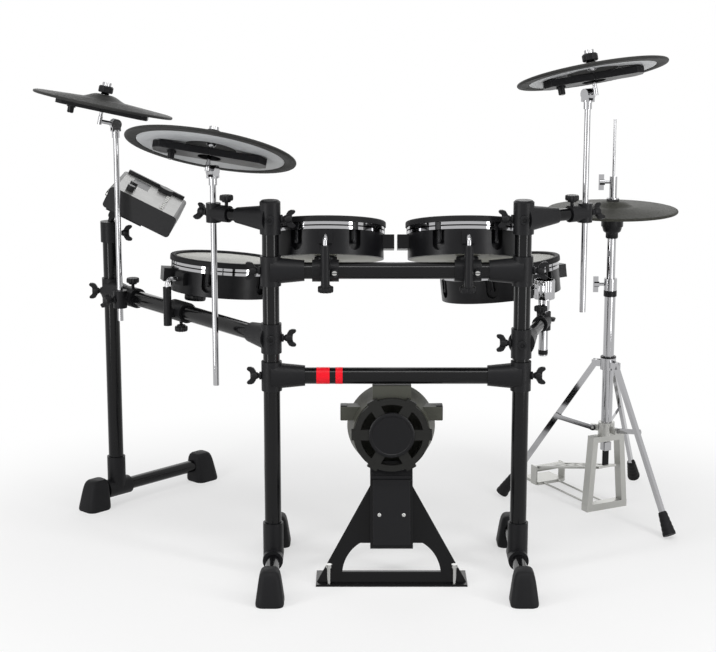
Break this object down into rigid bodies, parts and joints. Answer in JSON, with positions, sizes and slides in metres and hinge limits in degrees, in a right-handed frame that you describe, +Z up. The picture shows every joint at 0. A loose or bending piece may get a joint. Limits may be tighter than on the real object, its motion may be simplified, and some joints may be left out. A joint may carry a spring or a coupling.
{
  "type": "electronic drum kit",
  "caption": "Electronic drum kit on a tube rack: mesh drum pads, rubber cymbal pads on tilting rods, pedal hi-hat on a folding stand, kick tower and sound module.",
  "frame": {"origin": "on the floor, under the kick tower's base, midway between the front posts", "axes": "+X to the hi-hat side, +Y to the drummer's seat, +Z up"},
  "size_m": [1.5888, 1.0357, 1.2085],
  "materials": {
    "black_pipe": "gloss",
    "black_cast": "satin",
    "black_steel": "satin",
    "rubber": "matte",
    "cymbal_rubber": "matte",
    "pad_plastic": "satin",
    "module_plastic": "matte",
    "module_panel": "satin",
    "chrome": "polished",
    "steel": "satin",
    "silver_cast": "cast",
    "mesh": "woven"
  },
  "bodies": {
    "stand": {"rack_posts": "black_pipe", "rack_bars": "black_pipe", "rack_tees": "black_cast", "rubber_feet": "rubber", "rack_clamps": "black_cast", "pad_arms": "chrome", "wing_bolts": "black_cast", "kick_base": "black_steel", "kick_housing": "pad_plastic", "kick_pad": "rubber", "kick_spikes": "steel", "hihat_tubes": "chrome", "hihat_frame": "silver_cast", "hihat_heel": "silver_cast"},
    "left_tom": {"left_tom_shell": "pad_plastic", "left_tom_hoops": "chrome", "left_tom_rim": "rubber", "left_tom_head": "mesh", "left_tom_clamp": "black_cast", "left_tom_arm": "chrome"},
    "right_tom": {"right_tom_shell": "pad_plastic", "right_tom_hoops": "chrome", "right_tom_rim": "rubber", "right_tom_head": "mesh", "right_tom_clamp": "black_cast", "right_tom_arm": "chrome"},
    "floor_tom": {"floor_tom_shell": "pad_plastic", "floor_tom_hoops": "chrome", "floor_tom_rim": "rubber", "floor_tom_head": "mesh"},
    "snare": {"snare_shell": "pad_plastic", "snare_hoops": "chrome", "snare_rim": "rubber", "snare_head": "mesh"},
    "ride_rod": {"ride_rod": "chrome"},
    "ride_tilter": {"ride_tilter": "chrome"},
    "ride_pad": {"ride_pad": "cymbal_rubber"},
    "right_crash_rod": {"right_crash_rod": "chrome"},
    "right_crash_tilter": {"right_crash_tilter": "chrome"},
    "right_crash_pad": {"right_crash_pad": "cymbal_rubber"},
    "left_crash_rod": {"left_crash_rod": "chrome"},
    "left_crash_tilter": {"left_crash_tilter": "chrome"},
    "left_crash_pad": {"left_crash_pad": "cymbal_rubber"},
    "hihat_footboard": {"hihat_footboard": "silver_cast"},
    "hihat_pull": {"hihat_pull_rod": "chrome", "hihat_pad": "cymbal_rubber"},
    "hihat_collar": {"hihat_collar": "chrome"},
    "hihat_leg_1": {"hihat_leg_1": "steel"},
    "hihat_brace_1": {"hihat_brace_1": "steel"},
    "hihat_leg_2": {"hihat_leg_2": "steel"},
    "hihat_brace_2": {"hihat_brace_2": "steel"},
    "hihat_leg_3": {"hihat_leg_3": "steel"},
    "hihat_brace_3": {"hihat_brace_3": "steel"},
    "module": {"module_case": "module_plastic", "module_panel": "module_panel", "module_holder": "black_steel"},
    "module_dial": {"module_dial": "pad_plastic"},
    "module_volume_knob": {"module_volume_knob": "pad_plastic"},
    "module_phones_knob": {"module_phones_knob": "pad_plastic"},
    "module_buttons": {"module_buttons": "pad_plastic"}
  },
  "joints": [
    {"name": "left_tom_tilt", "type": "hinge", "parent": "stand", "child": "left_tom", "pos_m": [-0.16, 0, 0.72], "axis": [1, 0, 0], "range_deg": [-15, 6]},
    {"name": "right_tom_tilt", "type": "hinge", "parent": "stand", "child": "right_tom", "pos_m": [0.16, 0, 0.72], "axis": [1, 0, 0], "range_deg": [-15, 6]},
    {"name": "floor_tom_turn", "type": "hinge", "parent": "stand", "child": "floor_tom", "pos_m": [-0.49365, 0.32203, 0.64031], "axis": [-0.6986, -0.7078, 0.1046], "range_deg": [-15, 15]},
    {"name": "snare_turn", "type": "hinge", "parent": "stand", "child": "snare", "pos_m": [0.31129, 0.37685, 0.61557], "axis": [0.3152, -0.9438, 0.0995], "range_deg": [-15, 15]},
    {"name": "ride_height", "type": "slide", "parent": "stand", "child": "ride_rod", "axis": [0, 0, 1], "range_m": [-0.035, 0.15]},
    {"name": "ride_tilt", "type": "hinge", "parent": "ride_rod", "child": "ride_tilter", "pos_m": [-0.417, 0.09, 0.934], "axis": [-0.9064, 0.4224, 0], "range_deg": [-15, 15]},
    {"name": "ride_rock", "type": "hinge", "parent": "ride_tilter", "child": "ride_pad", "pos_m": [-0.41788, 0.08812, 0.99936], "axis": [-0.9064, 0.4224, 0], "range_deg": [-6, 6], "stiffness_Nm_per_rad": 6},
    {"name": "right_crash_height", "type": "slide", "parent": "stand", "child": "right_crash_rod", "axis": [0, 0, 1], "range_m": [-0.15, 0.15]},
    {"name": "right_crash_tilt", "type": "hinge", "parent": "right_crash_rod", "child": "right_crash_tilter", "pos_m": [0.431, 0.09, 1.107], "axis": [-0.8135, -0.5816, 0], "range_deg": [-15, 15]},
    {"name": "right_crash_rock", "type": "hinge", "parent": "right_crash_tilter", "child": "right_crash_pad", "pos_m": [0.43588, 0.08317, 1.17185], "axis": [-0.8135, -0.5816, 0], "range_deg": [-6, 6], "stiffness_Nm_per_rad": 6},
    {"name": "left_crash_height", "type": "slide", "parent": "stand", "child": "left_crash_rod", "axis": [0, 0, 1], "range_m": [-0.1, 0.04]},
    {"name": "left_crash_tilt", "type": "hinge", "parent": "left_crash_rod", "child": "left_crash_tilter", "pos_m": [-0.67998, 0.44126, 1.001], "axis": [-0.3879, 0.9217, 0], "range_deg": [-15, 15]},
    {"name": "left_crash_rock", "type": "hinge", "parent": "left_crash_tilter", "child": "left_crash_pad", "pos_m": [-0.70348, 0.43137, 1.06845], "axis": [-0.3879, 0.9217, 0], "range_deg": [-6, 6], "stiffness_Nm_per_rad": 6},
    {"name": "hihat_pedal", "type": "hinge", "parent": "stand", "child": "hihat_footboard", "pos_m": [0.427, 0.73633, 0.042], "axis": [0.8829, 0.4695, 0], "range_deg": [0, 3], "stiffness_Nm_per_rad": 20, "springref_deg": -17.19},
    {"name": "hihat_pull_slide", "type": "slide", "parent": "stand", "child": "hihat_pull", "axis": [0, 0, -1], "range_m": [0, 0.014]},
    {"name": "hihat_fold", "type": "slide", "parent": "stand", "child": "hihat_collar", "axis": [0, 0, 1], "range_m": [0, 0.1056]},
    {"name": "hihat_leg_1_swing", "type": "hinge", "parent": "hihat_collar", "child": "hihat_leg_1", "pos_m": [0.56549, 0.47586, 0.385], "axis": [0.8829, 0.4695, 0], "range_deg": [0, 28.1]},
    {"name": "hihat_brace_1_swing", "type": "hinge", "parent": "stand", "child": "hihat_brace_1", "pos_m": [0.57174, 0.47806, 0.214], "axis": [-0.8829, -0.4695, 0], "range_deg": [0, 69.63]},
    {"name": "hihat_leg_2_swing", "type": "hinge", "parent": "hihat_collar", "child": "hihat_leg_2", "pos_m": [0.56342, 0.53515, 0.385], "axis": [-0.9135, 0.4067, 0], "range_deg": [0, 28.1]},
    {"name": "hihat_brace_2_swing", "type": "hinge", "parent": "stand", "child": "hihat_brace_2", "pos_m": [0.55785, 0.53873, 0.214], "axis": [0.9135, -0.4067, 0], "range_deg": [0, 69.63]},
    {"name": "hihat_leg_3_swing", "type": "hinge", "parent": "hihat_collar", "child": "hihat_leg_3", "pos_m": [0.5194, 0.51736, 0.385], "axis": [-0.3746, -0.9272, 0], "range_deg": [0, 28.1]},
    {"name": "hihat_brace_3_swing", "type": "hinge", "parent": "stand", "child": "hihat_brace_3", "pos_m": [0.51602, 0.51166, 0.214], "axis": [0.3746, 0.9272, 0], "range_deg": [0, 69.63]},
    {"name": "module_tilt", "type": "hinge", "parent": "stand", "child": "module", "pos_m": [-0.7053, 0.547, 0.7635], "axis": [0, 1, 0], "range_deg": [-20, 15]},
    {"name": "module_dial_turn", "type": "hinge", "parent": "module", "child": "module_dial", "pos_m": [-0.59134, 0.7146, 0.79073], "axis": [0.454, 0, 0.891], "continuous": true},
    {"name": "module_volume_knob_turn", "type": "hinge", "parent": "module", "child": "module_volume_knob", "pos_m": [-0.65945, 0.51795, 0.82543], "axis": [0.454, 0, 0.891], "range_deg": [-150, 150]},
    {"name": "module_phones_knob_turn", "type": "hinge", "parent": "module", "child": "module_phones_knob", "pos_m": [-0.65945, 0.5778, 0.82543], "axis": [0.454, 0, 0.891], "range_deg": [-150, 150]},
    {"name": "module_buttons_press", "type": "slide", "parent": "module", "child": "module_buttons", "axis": [-0.454, 0, -0.891], "range_m": [0, 0.0015], "stiffness_N_per_m": 600}
  ],
  "couplings": [
    {"joint": "hihat_pull_slide", "follows": "hihat_pedal", "m_per_rad": 0.262},
    {"joint": "hihat_leg_1_swing", "follows": "hihat_fold", "rad_per_m": 4.6278},
    {"joint": "hihat_brace_1_swing", "follows": "hihat_fold", "rad_per_m": 11.492},
    {"joint": "hihat_leg_2_swing", "follows": "hihat_fold", "rad_per_m": 4.6278},
    {"joint": "hihat_brace_2_swing", "follows": "hihat_fold", "rad_per_m": 11.492},
    {"joint": "hihat_leg_3_swing", "follows": "hihat_fold", "rad_per_m": 4.6278},
    {"joint": "hihat_brace_3_swing", "follows": "hihat_fold", "rad_per_m": 11.492}
  ]
}
